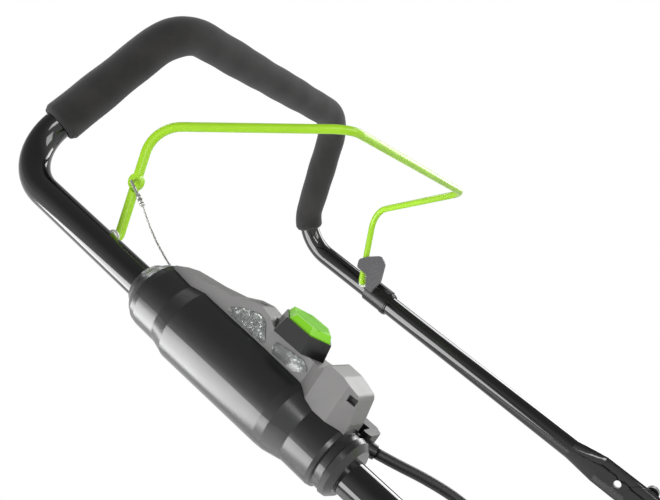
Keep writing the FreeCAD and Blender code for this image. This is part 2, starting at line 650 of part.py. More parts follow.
def auger_housing():
    """The scoop: a curved back between two end plates, with the discharge collar on top."""
    outer = HOUSING_R + WALL
    ends = [end_plate(-CLEARING_X - WALL), end_plate(CLEARING_X)]
    axis = [(-CLEARING_X, 0, AUGER_Z), (CLEARING_X, 0, AUGER_Z)]
    shell = pipe(*axis, outer, HOUSING_R)
    front_line = outer * math.cos(math.radians(72))
    keep = plate_x([(-140, 30), (-72, 30), (0, AUGER_Z), (front_line * 1.3, AUGER_Z + outer * 1.3),
                    (-140, AUGER_Z + outer * 1.3)], (-CLEARING_X, CLEARING_X))
    shell = shell.common(keep)
    collar = rod((0, CHUTE_Y, AUGER_Z + 60), (0, CHUTE_Y, 280), CHUTE_R + 6)
    flange = rod((0, CHUTE_Y, 276), (0, CHUTE_Y, 281), CHUTE_R + 20)
    lip = plate_x([(32, 250), (42, 243), (47, 250), (38, 258)], (-CLEARING_X, CLEARING_X))
    pads = [block(x, (-outer - 0.5, -90), (92, 168)) for x in ((-165, -60), (60, 165))]
    body = fused([shell, collar, flange, lip] + pads)
    body = body.cut(rod(*axis, HOUSING_R))
    body = body.cut(rod((0, CHUTE_Y, AUGER_Z), (0, CHUTE_Y, 290), CHUTE_R))
    body = fused([body] + ends)
    body = body.cut(rod((-300, 0, AUGER_Z), (300, 0, AUGER_Z), BEARING_R + FIT))
    return body


def scraper_bar():
    """The wear strip along the bottom of the housing's back."""
    return plate_x([(-93.5, 40), (-90.4, 38.5), (-66.5, 2), (-68, 0), (-72, 0)],
                   (-CLEARING_X + GAP, CLEARING_X - GAP))


def auger_bearings():
    """Flanged bushes that carry the auger's shaft in the two end plates."""
    side = pipe((CLEARING_X - 2, 0, AUGER_Z), (CLEARING_X + WALL + 2, 0, AUGER_Z), BEARING_R,
                SHAFT_R + FIT)
    flange = pipe((CLEARING_X + WALL + 0.1, 0, AUGER_Z), (CLEARING_X + WALL + 3, 0, AUGER_Z),
                  BEARING_R + 5, SHAFT_R + FIT)
    return both(fused([side, flange]))


def auger_shaft():
    """The auger's shaft, its left end carrying the pulley, its right end turned down for a clip."""
    shaft = rod((-279, 0, AUGER_Z), (CLEARING_X + WALL + 8, 0, AUGER_Z), SHAFT_R)
    core = rod((-CLEARING_X + 8, 0, AUGER_Z), (CLEARING_X - 8, 0, AUGER_Z), 14.0)
    return fused([shaft, core])


def blade(x, start, twist, steps):
    """A twisted rubber blade between two values of x."""
    thickness = 6.0
    rings = []
    for i in range(steps + 1):
        at = x[0] + (x[1] - x[0]) * i / steps
        turn = math.radians(start + twist * i / steps)
        out = V(0, math.cos(turn), math.sin(turn))
        across = V(0, -math.sin(turn), math.cos(turn)) * (thickness / 2)
        centre = V(at, 0, AUGER_Z)
        loop = [centre + out * a + across * b for a, b in
                ((13.0, -1), (PADDLE_R, -1), (PADDLE_R, 1), (13.0, 1))]
        rings.append(Part.makePolygon(loop + [loop[0]]))
    return Part.makeLoft(rings, True, True)


def auger_paddles():
    """Two rubber paddles half a turn apart, their outer halves wound to feed snow to the middle."""
    half = CLEARING_X - 10
    paddles = []
    for start in (20, 200):
        pieces = [blade((-half, -70), start + 75, -75, 5), blade((-70, 70), start, 0, 1),
                  blade((70, half), start, 75, 5)]
        paddles.append(fused(pieces))
    return Part.makeCompound(paddles).cut(rod((-260, 0, AUGER_Z), (260, 0, AUGER_Z), 14.0))


def pulley(y, z, radius, bore, x=PULLEY_X):
    """A flanged belt pulley with a recessed web."""
    body = rod((x[0], y, z), (x[1], y, z), radius)
    flanges = [rod((a, y, z), (a + 1.5, y, z), radius + 4) for a in (x[0] - 1.5, x[1])]
    wheel = fused([body] + flanges)
    if radius > 30:
        wheel = wheel.cut(pipe((x[0] - 2, y, z), (x[0] + 4, y, z), radius - 5, 14))
    return wheel.cut(rod((x[0] - 2, y, z), (x[1] + 2, y, z), bore))


def tangent_hull(x, big_r, small_r):
    """The solid between two parallel tangents round the auger pulley and the motor pulley."""
    span = V(0, MOTOR_Y, MOTOR_Z - AUGER_Z)
    lean = math.acos((big_r - small_r) / span.Length)
    base = math.atan2(span.z, span.y)
    points = []
    for sign in (1, -1):
        angle = base + sign * lean
        out = V(0, math.cos(angle), math.sin(angle))
        points.append((V(0, 0, AUGER_Z) + out * big_r, V(0, MOTOR_Y, MOTOR_Z) + out * small_r))
    (a, b), (d, c) = points
    quad = Part.makePolygon([a, b, c, d, a])
    middle = Part.Face(quad).translated(V(x[0], 0, 0)).extrude(V(x[1] - x[0], 0, 0))
    ends = [rod((x[0], 0, AUGER_Z), (x[1], 0, AUGER_Z), big_r),
            rod((x[0], MOTOR_Y, MOTOR_Z), (x[1], MOTOR_Y, MOTOR_Z), small_r)]
    return fused([middle] + ends)


def drive_belt():
    """The belt round the two pulleys."""
    x = (PULLEY_X[0] + 0.6, PULLEY_X[1] - 0.6)
    outside = tangent_hull(x, AUGER_PULLEY_R + 3.3, MOTOR_PULLEY_R + 3.3)
    return outside.cut(tangent_hull((x[0] - 1, x[1] + 1), AUGER_PULLEY_R + GAP, MOTOR_PULLEY_R + GAP))


def belt_cover():
    """The cover over the belt, dished to the housing's left end plate and closed behind it."""
    x = (-COVER_FACE_X, -CLEARING_X - WALL - GAP)
    outside = tangent_hull(x, AUGER_PULLEY_R + 15, MOTOR_PULLEY_R + 13)
    cavity = tangent_hull((x[0] + 2.4, x[1] + 5), AUGER_PULLEY_R + 12, MOTOR_PULLEY_R + 10)
    cover = outside.cut(cavity)
    rim = tangent_hull((x[1] - 2.0, x[1]), AUGER_PULLEY_R + 15, MOTOR_PULLEY_R + 13)
    rim = rim.common(block((-300, -200), (-230, -132), (100, 300)))
    rim = rim.cut(rod((-300, MOTOR_Y, MOTOR_Z), (-200, MOTOR_Y, MOTOR_Z), 9.0))
    return fused([cover, rim])


def motor():
    """The motor's can, with a mounting flange and end cap."""
    can = rod((-112, MOTOR_Y, MOTOR_Z), (40, MOTOR_Y, MOTOR_Z), 30.0)
    flange = rod((-116, MOTOR_Y, MOTOR_Z), (-110, MOTOR_Y, MOTOR_Z), 32.0)
    cap = rod((36, MOTOR_Y, MOTOR_Z), (46, MOTOR_Y, MOTOR_Z), 26.0)
    bore = rod((-130, MOTOR_Y, MOTOR_Z), (-80, MOTOR_Y, MOTOR_Z), 6.0 + FIT)
    return fused([can, flange, cap]).cut(bore)


def motor_shaft():
    """The shaft from the motor to the small pulley, through the frame and the hood."""
    return rod((-279, MOTOR_Y, MOTOR_Z), (-84, MOTOR_Y, MOTOR_Z), 6.0)


FRAME_SIDE = [(-398, 66), (-398, 170), (-352, 292), (-262, 292), (-225, 262), (-131, 262),
              (-131, 66)]


def base_frame():
    """The steel tray that joins the housing, the motor, the axle and the handle."""
    sides = plate_x(FRAME_SIDE, (FRAME_X - SHEET, FRAME_X), [8, 12, 22, 22, 20, 6, 6])
    floor = block((-FRAME_X, FRAME_X), (-390, -131), (66, 66 + SHEET))
    front = block((-FRAME_X, FRAME_X), (-131.4, -128.6), (66, 256))
    tray = fused([sides, mirrored(sides), floor, front])
    tray = tray.cut(rod((-200, AXLE_Y, WHEEL_R), (200, AXLE_Y, WHEEL_R), AXLE_R + FIT))
    tray = tray.cut(rod((-200, MOTOR_Y, MOTOR_Z), (-120, MOTOR_Y, MOTOR_Z), 9.0))
    for y in FOOT_BOLTS:
        bolt = to_machine(rod((-200, y, 0), (200, y, 0), 3.0 + FIT))
        tray = tray.cut(bolt)
    return tray


def wheel_axle():
    """One axle right through the frame."""
    return rod((-241, AXLE_Y, WHEEL_R), (241, AXLE_Y, WHEEL_R), AXLE_R)


def wheel_hub():
    """The right wheel's moulded rim, spokes and hub."""
    y, z = AXLE_Y, WHEEL_R
    rim = pipe((WHEEL_X[0] + 3, y, z), (WHEEL_X[1] - 3, y, z), TYRE_INNER, TYRE_INNER - 7)
    hub = rod((WHEEL_X[0] - 5, y, z), (WHEEL_X[1] - 1, y, z), 17.0)
    web = rod((WHEEL_X[0] + 15, y, z), (WHEEL_X[0] + 19, y, z), TYRE_INNER - 3)
    spokes = []
    for i in range(7):
        spoke = block((WHEEL_X[0] + 6, WHEEL_X[1] - 5), (y + 12, y + TYRE_INNER - 4), (z - 3, z + 3))
        spoke.rotate(V(0, y, z), X_AXIS, i * 360 / 7)
        spokes.append(spoke)
    wheel = fused([rim, hub, web] + spokes)
    return wheel.cut(rod((180, y, z), (250, y, z), AXLE_R + FIT))


def tyre():
    """The right wheel's rubber tyre with cross treads."""
    y, z = AXLE_Y, WHEEL_R
    half = (WHEEL_X[1] - WHEEL_X[0]) / 2
    middle = (WHEEL_X[0] + WHEEL_X[1]) / 2
    profile = [(-half + 2, TYRE_INNER), (-half, TYRE_INNER + 5), (-half + 1, WHEEL_R - 7),
               (-half + 6, WHEEL_R - 3), (half - 6, WHEEL_R - 3), (half - 1, WHEEL_R - 7),
               (half, TYRE_INNER + 5), (half - 2, TYRE_INNER)]
    carcass = turned(profile, (middle, y, z), (1, 0, 0))
    carcass = carcass.cut(rod((180, y, z), (250, y, z), TYRE_INNER))
    limit = rod((WHEEL_X[0] + 4, y, z), (WHEEL_X[1] - 4, y, z), WHEEL_R)
    treads = []
    for i in range(24):
        side = (0, 14) if i % 2 else (-14, 0)
        lug = block((middle + side[0], middle + side[1]), (y - 4, y + 4), (z + WHEEL_R - 6, z + 95))
        lug.rotate(V(0, y, z), X_AXIS, (i + 0.5) * 15)
        treads.append(lug.common(limit))
    return fused([carcass] + treads)


def hub_cap():
    """The domed cap over the end of the axle."""
    profile = [(0.0, 20.0), (2.5, 20.0), (6.5, 15.0), (7.5, 0.01)]
    return turned(profile, (WHEEL_X[1] - 0.8 + GAP, AXLE_Y, WHEEL_R), (1, 0, 0)).cut(
        rod((WHEEL_X[1] - 2, AXLE_Y, WHEEL_R), (241.2, AXLE_Y, WHEEL_R), AXLE_R + FIT))


HOOD_SIDE = [(-392, 72), (-392, 230), (-345, 318), (-196, 330), (-136, 300), (-136, 72)]


def hood_form(inset):
    """The motor hood's outer or inner form: a side outline crossed with a front outline."""
    points = HOOD_SIDE
    radii = [2, 30, 26, 40, 30, 2] if inset == 0 else [1, 27, 23, 37, 27, 1]
    middle_y = sum(y for y, _ in points) / len(points)
    inner = [(y + (inset if y < middle_y else -inset), z - (inset if z > 100 else 0))
             for y, z in points]
    x = HOOD_X - inset
    side = plate_x(inner, (-x, x), radii)
    front = [(-x, 60), (x, 60), (x, 280), (x - 60, 340 - inset), (-x + 60, 340 - inset), (-x, 280)]
    face = Part.Face(outline([(a, -410, b) for a, b in front], [1, 1, 40, 30, 30, 40]))
    return side.common(face.extrude(V(0, 300, 0)))


def motor_hood():
    """The moulded hood over the motor, open below and round the battery dock."""
    hood = hood_form(0).cut(hood_form(3.0)).cut(block((-200, 200), (-400, -100), (50, 72)))
    hood = hood.cut(rod((-200, MOTOR_Y, MOTOR_Z), (-120, MOTOR_Y, MOTOR_Z), 10.0))
    hood = hood.cut(rod((-200, AXLE_Y, WHEEL_R), (200, AXLE_Y, WHEEL_R), 8.0))
    hood = hood.cut(block((-200, 200), (AXLE_Y - 8, AXLE_Y + 8), (60, WHEEL_R)))
    dock = block((-DOCK_X, DOCK_X), (DOCK_Y[0], DOCK_Y[1]), (280, 360))
    hood = hood.cut(dock)
    for x in (-112, 112):
        hood = hood.cut(to_lamp(block((x - LAMP_X, x + LAMP_X), (-LAMP_Z, LAMP_Z), (-15, 15))))
    for z in (120, 140, 160, 180):
        hood = hood.cut(block((-90, 90), (-400, -380), (z, z + 7)))
    return hood


def to_lamp(shape):
    """Moves a piece drawn about the lamp's centre onto the hood's front slope."""
    slope = math.degrees(math.atan2(330 - 300, 196 - 136))
    turned_shape = shape.copy()
    turned_shape.rotate(V(0, 0, 0), X_AXIS, -slope)
    return turned_shape.translated(V(0, -166, 315))


def battery_dock():
    """The open-topped dock that the battery slides down into."""
    outer = block((-DOCK_X + GAP, DOCK_X - GAP), (DOCK_Y[0] + GAP, DOCK_Y[1] - GAP), (229, 322))
    cavity = block((-BATTERY_X - 1, BATTERY_X + 1), (BATTERY_Y[0] - 1, BATTERY_Y[1] + 1),
                   (BATTERY_Z[0] - 8, 330))
    return outer.cut(cavity)


def dock_terminals():
    """The contact block in the floor of the dock."""
    base = block((-16, 16), (-285, -255), (232.3, 236))
    blades = [block((x - 0.6, x + 0.6), (-280, -260), (235, 239.4)) for x in (-10, 0, 10)]
    return fused([base] + blades)


def battery_pack():
    """The sliding battery pack, with a hand grip on top and a seat for its latch."""
    x, y, z = BATTERY_X, BATTERY_Y, BATTERY_Z
    body = plate_z([(-x, y[0]), (x, y[0]), (x, y[1]), (-x, y[1])], (z[0], z[1] - 16), 8)
    top = plate_z([(-x + 3, y[0] + 3), (x - 3, y[0] + 3), (x - 3, y[1] - 3), (-x + 3, y[1] - 3)],
                  (z[1] - 16, z[1]), 8)
    pack = fused([body, top])
    for side in (-1, 1):
        grip = block((side * 22 - 9, side * 22 + 9), (y[0] + 24, y[1] - 24), (z[1] - 10, z[1] + 1))
        pack = pack.cut(grip)
    latch = block((-15, 15), (y[1] - 14, y[1] + 1), (z[1] - 33, z[1] - 19))
    return pack.cut(latch)


def battery_latch():
    """The button that frees the battery, pushed in towards the pack."""
    y, z = BATTERY_Y, BATTERY_Z
    face = block((-14, 14), (y[1] - 6, y[1] + 1.5), (z[1] - 32, z[1] - 20))
    return fused([face, block((-6, 6), (y[1] - 8, y[1] - 5), (z[1] - 29, z[1] - 23))])


def controller_board():
    """The motor controller: a board on standoffs with its heat sink and capacitors."""
    z = 112.0
    board = block((20, 150), (-372, -250), (z, z + 2))
    posts = [rod((x, y, 66 + SHEET), (x, y, z), 3.0) for x in (26, 144) for y in (-366, -256)]
    sink = block((40, 110), (-300, -262), (z + 2, z + 22))
    for i in range(8):
        sink = sink.cut(block((42 + 9 * i, 46 + 9 * i), (-301, -261), (z + 8, z + 23)))
    caps = [rod((x, -350, z + 2), (x, -350, z + 26), 7.0) for x in (45, 65, 85)]
    return fused([board, sink] + posts + caps)


def headlight_shells():
    """The lamp bodies set in the hood's front slope."""
    lamps = []
    for x in (-112, 112):
        shell = block((x - LAMP_X + GAP, x + LAMP_X - GAP), (-LAMP_Z + GAP, LAMP_Z - GAP), (-14, 2))
        cup = block((x - LAMP_X + 3, x + LAMP_X - 3), (-LAMP_Z + 3, LAMP_Z - 3), (-10, 4))
        emitters = [rod((x + i, 0, -11), (x + i, 0, -7), 3.0) for i in (-16, 0, 16)]
        lamps.append(to_lamp(fused([shell.cut(cup)] + emitters)))
    return Part.makeCompound(lamps)


def headlight_lenses():
    """The clear panes in the two lamps."""
    panes = []
    for x in (-112, 112):
        pane = block((x - LAMP_X + 3.2, x + LAMP_X - 3.2), (-LAMP_Z + 3.2, LAMP_Z - 3.2), (-1, 1.6))
        panes.append(to_lamp(pane))
    return Part.makeCompound(panes)


def chute_ring():
    """The bearing ring that the chute turns on, clamped to the housing's collar."""
    ring = pipe((0, CHUTE_Y, 281), (0, CHUTE_Y, 287), CHUTE_R + 20, CHUTE_R)
    rail = pipe((0, CHUTE_Y, 287), (0, CHUTE_Y, 296), CHUTE_R + 20, CHUTE_R + 16)
    keeper = pipe((0, CHUTE_Y, 293.4), (0, CHUTE_Y, 296), CHUTE_R + 20, CHUTE_R + 12)
    return fused([ring, rail, keeper])


CHUTE_SECTIONS = [(296, 0.0, 0, 140, 140, 66.0), (335, 2.0, 4, 138, 130, 56.0),
                  (390, 12.0, 16, 132, 112, 30.0), (440, 30.0, 30, 126, 100, 16.0)]


def chute_duct(grow):
    """The duct's outer or inner form through its sections: height, forward shift, lean and size."""
    rings = []
    for height, shift, lean, width, depth, radius in CHUTE_SECTIONS:
        half_x, half_y = width / 2 + grow, depth / 2 + grow
        points = [(-half_x, -half_y, 0), (half_x, -half_y, 0), (half_x, half_y, 0),
                  (-half_x, half_y, 0)]
        ring = outline(points, min(radius + grow, half_x - 0.5, half_y - 0.5))
        ring.rotate(V(0, 0, 0), X_AXIS, -lean)
        ring.translate(V(0, CHUTE_Y + shift, height))
        rings.append(ring)
    return Part.makeLoft(rings, True)


def chute():
    """The discharge chute: a turning foot flange and a duct that leans forwards."""
    foot = rod((0, CHUTE_Y, 287.3), (0, CHUTE_Y, 293.0), CHUTE_R + 14)
    neck = rod((0, CHUTE_Y, 292), (0, CHUTE_Y, 297), CHUTE_R + 4)
    body = fused([foot, neck, chute_duct(2.0)])
    body = body.cut(chute_duct(-1.0)).cut(rod((0, CHUTE_Y, 280), (0, CHUTE_Y, 298), CHUTE_R))
    lugs = [rod((s * 63.0, *TILT_PIN), (s * 67.0, *TILT_PIN), 9.0) for s in (-1, 1)]
    body = fused([body] + lugs)
    for s in (-1, 1):
        body = body.cut(rod((s * 60, *TILT_PIN), (s * 70, *TILT_PIN), 3.0 + FIT))
    return body


def deflector():
    """The tilting hood on the chute's mouth: a back plate and two cheeks on the tilt pins."""
    cheek = [(-32, -10), (-36, 6), (-20, 118), (62, 118), (62, -6), (20, -16)]
    sides = [plate_x(cheek, x, [6, 10, 14, 4, 4, 8]) for x in ((68.0, 71.0), (-71.0, -68.0))]
    back = block((-71, 71), (59.0, 62.0), (-6, 118))
    rib = block((-50, 50), (62.0, 66.0), (60, 66))
    hood = fused(sides + [back, rib])
    hood = hood.mirror(V(0, 0, 0), V(0, 1, 0))
    hood = hood.cut(rod((-80, 0, 0), (80, 0, 0), 3.0 + FIT))
    hood.rotate(V(0, 0, 0), X_AXIS, -DEFLECTOR_LEAN)
    return hood.translated(V(0, *TILT_PIN))


def tilt_pins():
    """The two pins that the deflector tilts on, headed on the outside."""
    pin = fused([rod((64, *TILT_PIN), (74, *TILT_PIN), 3.0),
                 rod((71.3, *TILT_PIN), (75, *TILT_PIN), 7.0)])
    return both(pin)


def chute_lever():
    """The hand lever bolted to the chute's turning foot, with its ball."""
    foot = (0, CHUTE_Y - CHUTE_R - 7.8, 293.3)
    bend = (0, CHUTE_Y - CHUTE_R - 11, 330)
    top = (0, CHUTE_Y - CHUTE_R - 34, 400)
    stem = swept(route([foot, bend, top], [60.0]), 3.5)
    plate = block((-10, 10), (CHUTE_Y - CHUTE_R - 11, CHUTE_Y - CHUTE_R - 4.8), (293.3, 297))
    return fused([stem, plate, Part.makeSphere(13.0, V(*top))])


# ---- placing and writing ------------------------------------------------------------------------
def to_machine(shape):
    """Pitches a piece of the handle, and moves it from the handle's frame to the machine's."""
    placed = shape.copy()
    placed.rotate(V(0, 0, 0), X_AXIS, -PITCH)
    return placed.translated(V(0, HANDLE_Y, HANDLE_Z))


HANDLE_PIECES = {
    "upper_handle_tube": upper_handle_tube, "foam_grip": foam_grip, "bail_lever": bail_lever,
    "bail_bushes": bail_bushes, "bail_guard": bail_guard, "wire_hook": wire_hook,
    "pull_wire": pull_wire, "switch_box_lower": switch_box_lower,
    "switch_box_upper": switch_box_upper, "switch_box_cover": switch_box_cover,
    "window_lenses": window_lenses, "start_button_block": start_button_block,
    "start_button": start_button, "start_button_spring": start_button_spring,
    "microswitch": microswitch, "switch_slider": switch_slider, "slider_spring": slider_spring,
    "box_screws": box_screws, "cord_gland": cord_gland, "power_cord": power_cord,
    "body_gland": body_gland, "cord_clip": cord_clip, "lower_handle_right": lower_handle,
    "lower_handle_left": lambda: mirrored(lower_handle()), "foot_bolts": foot_bolts,
    "fold_bolts": fold_bolts, "fold_knob_right": fold_knob,
    "fold_knob_left": lambda: mirrored(fold_knob()),
}
BODY_PIECES = {
    "auger_housing": auger_housing, "scraper_bar": scraper_bar, "auger_bearings": auger_bearings,
    "auger_shaft": auger_shaft, "auger_paddles": auger_paddles,
    "auger_pulley": lambda: pulley(0, AUGER_Z, AUGER_PULLEY_R, SHAFT_R + FIT),
    "motor_pulley": lambda: pulley(MOTOR_Y, MOTOR_Z, MOTOR_PULLEY_R, 6.0 + FIT),
    "drive_belt": drive_belt, "belt_cover": belt_cover, "motor": motor,
    "motor_shaft": motor_shaft, "base_frame": base_frame, "wheel_axle": wheel_axle,
    "wheel_hub_right": wheel_hub, "wheel_hub_left": lambda: mirrored(wheel_hub()),
    "tyre_right": tyre, "tyre_left": lambda: mirrored(tyre()), "hub_cap_right": hub_cap,
    "hub_cap_left": lambda: mirrored(hub_cap()), "motor_hood": motor_hood,
    "battery_dock": battery_dock, "dock_terminals": dock_terminals,
    "battery_pack": battery_pack, "battery_latch": battery_latch,
    "controller_board": controller_board, "headlight_shells": headlight_shells,
    "headlight_lenses": headlight_lenses, "chute_ring": chute_ring, "chute": chute,
    "deflector": deflector, "tilt_pins": tilt_pins, "chute_lever": chute_lever,
}


def build():
    """Every piece in its place, and the shift that puts the origin at the bottom centre."""
    pieces = {name: to_machine(make()) for name, make in HANDLE_PIECES.items()}
    pieces.update({name: make() for name, make in BODY_PIECES.items()})
    extent = FreeCAD.BoundBox()
    for piece in pieces.values():
        extent.add(piece.optimalBoundingBox(False))
    shift = V(-extent.Center.x, -extent.Center.y, -extent.ZMin)
    return {name: piece.translated(shift) for name, piece in pieces.items()}, shift


def main():
    """Writes one STEP file for each piece."""
    os.makedirs("parts", exist_ok=True)
    pieces, shift = build()
    for name, piece in pieces.items():
        piece.exportStep(f"parts/{name}.step")
    print(len(pieces), "pieces, origin shift", [round(c, 3) for c in shift])


main()
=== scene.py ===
import json
import math
import random

import bmesh
import bpy
from mathutils import Matrix, Vector


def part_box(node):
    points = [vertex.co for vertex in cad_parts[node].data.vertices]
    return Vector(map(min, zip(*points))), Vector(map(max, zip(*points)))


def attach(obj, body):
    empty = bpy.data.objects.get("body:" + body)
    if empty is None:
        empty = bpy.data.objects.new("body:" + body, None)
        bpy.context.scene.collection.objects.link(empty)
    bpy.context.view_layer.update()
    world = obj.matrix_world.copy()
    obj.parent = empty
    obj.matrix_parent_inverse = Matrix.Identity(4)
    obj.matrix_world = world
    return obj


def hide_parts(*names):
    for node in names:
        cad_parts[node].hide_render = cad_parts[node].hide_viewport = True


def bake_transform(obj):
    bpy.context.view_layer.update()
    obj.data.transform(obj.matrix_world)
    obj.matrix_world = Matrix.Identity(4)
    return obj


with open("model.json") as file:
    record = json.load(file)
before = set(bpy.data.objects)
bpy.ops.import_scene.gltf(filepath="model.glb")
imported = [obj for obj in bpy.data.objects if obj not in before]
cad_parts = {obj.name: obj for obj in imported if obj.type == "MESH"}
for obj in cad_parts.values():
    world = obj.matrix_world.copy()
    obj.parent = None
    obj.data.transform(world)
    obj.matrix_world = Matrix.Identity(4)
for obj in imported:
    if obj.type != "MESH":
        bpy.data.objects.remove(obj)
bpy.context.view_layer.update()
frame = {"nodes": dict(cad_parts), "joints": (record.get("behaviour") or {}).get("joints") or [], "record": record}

RECORD = frame["record"]
NODES = frame["nodes"]
SLOT_OF = {part["node"]: part["material_slot"] for part in RECORD["subparts"]}
JOINTS = {joint["name"]: joint for joint in frame["joints"]}
random.seed(11)

# ---- the handle's frame, in metres: y down the tubes, z out of their plane ----------------------
PITCH = math.radians(42)
PIVOT_Y = 0.550
TUBE_R = 0.0127
TUBE_LOW, TUBE_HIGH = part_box("upper_handle_tube")
TUBE_X = (TUBE_HIGH[0] - TUBE_LOW[0]) / 2 - TUBE_R
GRIP_X = 0.1625
GRIP_Z = 0.1688
SHOULDER_R = 0.050
CORNER_R = 0.062
FOAM_R = 0.0183
FOAM_BEND = math.radians(34)
WIRE_START = Vector((0.2365, 0.1054, 0.0498))
WIRE_EXIT = Vector((0.246, 0.191, 0.021))
BUTTON_Y = 0.315
SPRING_WIRE_R = 0.0004
BUTTON_SPRING_LENGTH = 0.0028
SLIDER_SPRING_LENGTH = 0.0238
CORD_R = 0.00375
CORD_ROUTE = [(.2305, .394, .015), (.225, .407, .0163), (.213, .427, .0184), (.201, .452, .019),
              (.194, .486, .0155), (.198, .526, .008), (.214, .565, .0025), (.231, .597, 0),
              (.2384, .624, 0), (.238, .655, -.001), (.231, .680, -.007), (.213, .700, -.019),
              (.189, .713, -.029), (.165, .726, -.034), (.148, .743, -.033), (.1405, .762, -.028),
              (.140, .7798, -.0232)]
HANDLE_TURN = Matrix.Rotation(-PITCH, 3, "X")
HANDLE_ORIGIN = Vector(JOINTS["handle_fold"]["pos_m"]) - HANDLE_TURN @ Vector((0, PIVOT_Y, 0))


def middle_of(name):
    """The middle of a CAD piece's box."""
    low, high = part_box(name)
    return (Vector(low) + Vector(high)) / 2


MIDDLE_X = middle_of("base_frame").x
AUGER_Y = middle_of("auger_shaft").y


def at_handle(x, y, z):
    """A point of the handle's frame in the row frame."""
    return HANDLE_ORIGIN + HANDLE_TURN @ Vector((x, y, z))


def at_machine(x, y, z):
    """A point of the body in the row frame: y from the auger's shaft, z from the ground."""
    return Vector((MIDDLE_X + x, AUGER_Y + y, z))


# ---- camera -------------------------------------------------------------------------------------
CAMERA_PLACE = (0.72158, 0.52310, 0.19879)
CAMERA_FORWARD = (-0.88629, -0.43013, -0.17171)
CAMERA_UP = (0.10962, -0.55504, 0.82457)
CAMERA_LENS = 43.227


def add_camera():
    """The camera, placed and aimed in the handle's frame."""
    data = bpy.data.cameras.new("camera")
    data.lens = CAMERA_LENS
    data.sensor_width = 36.0
    data.clip_start = 0.01
    camera = bpy.data.objects.new("camera", data)
    bpy.context.scene.collection.objects.link(camera)
    forward = (HANDLE_TURN @ Vector(CAMERA_FORWARD)).normalized()
    up = HANDLE_TURN @ Vector(CAMERA_UP)
    right = forward.cross(up).normalized()
    up = right.cross(forward)
    turn = Matrix((right, up, -forward)).transposed().to_4x4()
    camera.matrix_world = Matrix.Translation(at_handle(*CAMERA_PLACE)) @ turn
    bpy.context.scene.camera = camera


# ---- meshes -------------------------------------------------------------------------------------
def link(name, mesh, smooth=True):
    """A new object in the scene, shaded smooth or flat."""
    obj = bpy.data.objects.new(name, mesh)
    bpy.context.scene.collection.objects.link(obj)
    for polygon in mesh.polygons:
        polygon.use_smooth = smooth
    return obj


def from_faces(name, vertices, faces, smooth=True):
    """A mesh from its vertices and faces, all its faces turned outwards."""
    mesh = bpy.data.meshes.new(name)
    mesh.from_pydata([tuple(v) for v in vertices], [], faces)
    mesh.validate()
    work = bmesh.new()
    work.from_mesh(mesh)
    bmesh.ops.recalc_face_normals(work, faces=work.faces)
    work.to_mesh(mesh)
    work.free()
    return link(name, mesh, smooth)


def frames_along(points):
    """Each point with two directions across the path, carried along without twisting."""
    count = len(points)
    ways = []
    for i in range(count):
        ahead = points[min(i + 1, count - 1)] - points[max(i - 1, 0)]
        ways.append(ahead.normalized())
    side = ways[0].orthogonal().normalized()
    result = []
    for i, way in enumerate(ways):
        if i:
            side = ways[i - 1].rotation_difference(way) @ side
        side = (side - way * side.dot(way)).normalized()
        result.append((points[i], side, way.cross(side)))
    return result


def ring_faces(rings, sides, closed=False):
    """Faces between rings of vertices, with a cap on each end unless the last ring meets the first."""
    faces = []
    for i in range(rings if closed else rings - 1):
        j = (i + 1) % rings
        for k in range(sides):
            n = (k + 1) % sides
            faces.append((i * sides + k, i * sides + n, j * sides + n, j * sides + k))
    if not closed:
        faces.append(tuple(range(sides)))
        faces.append(tuple(range((rings - 1) * sides, rings * sides)))
    return faces


def around(side, other, sides):
    """Directions evenly spaced round a circle, from two directions across it."""
    angles = [2 * math.pi * k / sides for k in range(sides)]
    return [side * math.cos(angle) + other * math.sin(angle) for angle in angles]


def tube(name, points, radius, sides=24):
    """A closed tube along the points."""
    vertices = []
    for centre, side, other in frames_along(points):
        vertices += [centre + out * radius for out in around(side, other, sides)]
    return from_faces(name, vertices, ring_faces(len(points), sides))


def lathe(name, profile, place, way, sides=32, closed=False):
    """A profile of (distance along, radius) turned about an axis."""
    way = Vector(way).normalized()
    side = way.orthogonal().normalized()
    other = way.cross(side)
    vertices = []
    for along, radius in profile:
        centre = Vector(place) + way * along
        vertices += [centre + out * radius for out in around(side, other, sides)]
    return from_faces(name, vertices, ring_faces(len(profile), sides, closed))


def joined(name, objects):
    """Several meshes as one piece."""
    bpy.ops.object.select_all(action="DESELECT")
    for obj in objects:
        obj.select_set(True)
    bpy.context.view_layer.objects.active = objects[0]
    bpy.ops.object.join()
    objects[0].name = name
    objects[0].data.name = name
    return objects[0]


def rounded_path(points, radii, step):
    """Points along straight runs joined by arcs, a step apart on the arcs."""
    path = [points[0]]
    for i in range(1, len(points) - 1):
        before = (points[i - 1] - points[i]).normalized()
        after = (points[i + 1] - points[i]).normalized()
        turn = math.pi - before.angle(after)
        radius = radii[i - 1]
        back = radius * math.tan(turn / 2)
        centre = points[i] + (before + after).normalized() * radius / math.cos(turn / 2)
        start = points[i] + before * back - centre
        axis = start.cross(points[i] + after * back - centre).normalized()
        count = max(int(radius * turn / step), 2)
        for k in range(count + 1):
            path.append(centre + Matrix.Rotation(turn * k / count, 3, axis) @ start)
    path.append(points[-1])
    return path


def divided(path, step):
    """The path with its long runs divided into even steps."""
    result = [path[0]]
    for a, b in zip(path, path[1:]):
        count = max(int((b - a).length / step), 1)
        result += [a.lerp(b, (k + 1) / count) for k in range(count)]
    return result


